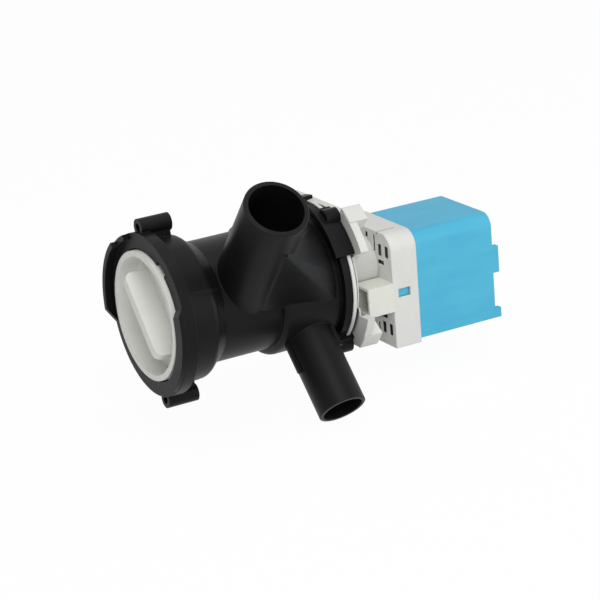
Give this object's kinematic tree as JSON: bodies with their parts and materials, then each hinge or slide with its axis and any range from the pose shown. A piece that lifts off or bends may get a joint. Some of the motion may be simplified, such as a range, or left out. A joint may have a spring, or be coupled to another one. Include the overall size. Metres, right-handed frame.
{
  "type": "washer drain pump",
  "caption": "Washer drain pump: a tube with a twist-out lint filter, a slanted inlet and outlet, a volute with an impeller, and a boxed motor with a plug socket.",
  "frame": {"origin": "midway between the two fixing bosses, on the plane of their front faces, on the pump axis", "axes": "+X along the pump axis from the filter mouth to the motor, +Z towards the top of the motor cover, -Y towards the side with the inlet and the outlet"},
  "size_m": [0.1926, 0.1161, 0.1292],
  "materials": {
    "black_moulding": "satin black polypropylene with mould marks",
    "white_moulding": "cool white, semi-gloss",
    "bracket_moulding": "off-white, satin",
    "blue_moulding": "sky blue, satin",
    "cream_moulding": "cream, satin",
    "bobbin_moulding": "natural nylon",
    "inner_moulding": "dark grey, satin",
    "impeller_moulding": "light grey, satin",
    "dog_plastic": "mid grey, satin",
    "washer_plastic": "natural acetal",
    "graphite": "dull dark grey bush",
    "seal_rubber": "black rubber",
    "lamination_steel": "stacked sheet steel",
    "shaft_steel": "ground steel",
    "ferrite": "dark ceramic magnet",
    "copper_wire": "enamelled copper",
    "tinned_brass": "tinned"
  },
  "bodies": {
    "pump": {"pump_housing": "black_moulding", "motor_bracket": "bracket_moulding", "housing_seal": "seal_rubber", "motor_cover": "blue_moulding", "stator_core": "lamination_steel", "coil_bobbin": "bobbin_moulding", "coil_winding": "copper_wire", "connector_shell": "cream_moulding", "terminal_tabs": "tinned_brass", "front_bearing": "graphite", "front_damper": "seal_rubber", "rear_bearing": "graphite", "rear_damper": "seal_rubber", "well_cover": "inner_moulding", "thrust_washers": "washer_plastic"},
    "filter_ring": {"filter_seal": "seal_rubber"},
    "filter": {"filter_insert": "white_moulding", "filter_cage": "white_moulding"},
    "rotor": {"rotor_shaft": "shaft_steel", "rotor_magnet": "ferrite", "rotor_hub": "inner_moulding", "drive_dog": "dog_plastic"},
    "impeller_wheel": {"impeller": "impeller_moulding", "impeller_cap": "impeller_moulding"}
  },
  "joints": [
    {"name": "filter_pull", "type": "slide", "parent": "pump", "child": "filter_ring", "axis": [-1, 0, 0], "range_m": [0, 0.09]},
    {"name": "filter_turn", "type": "hinge", "parent": "filter_ring", "child": "filter", "pos_m": [0, 0, 0], "axis": [1, 0, 0], "range_deg": [0, 60]},
    {"name": "rotor_spin", "type": "hinge", "parent": "pump", "child": "rotor", "pos_m": [0.146, 0, 0], "axis": [1, 0, 0], "continuous": true},
    {"name": "impeller_free_turn", "type": "hinge", "parent": "rotor", "child": "impeller_wheel", "pos_m": [0.078, 0, 0], "axis": [1, 0, 0], "range_deg": [-90, 90]}
  ]
}
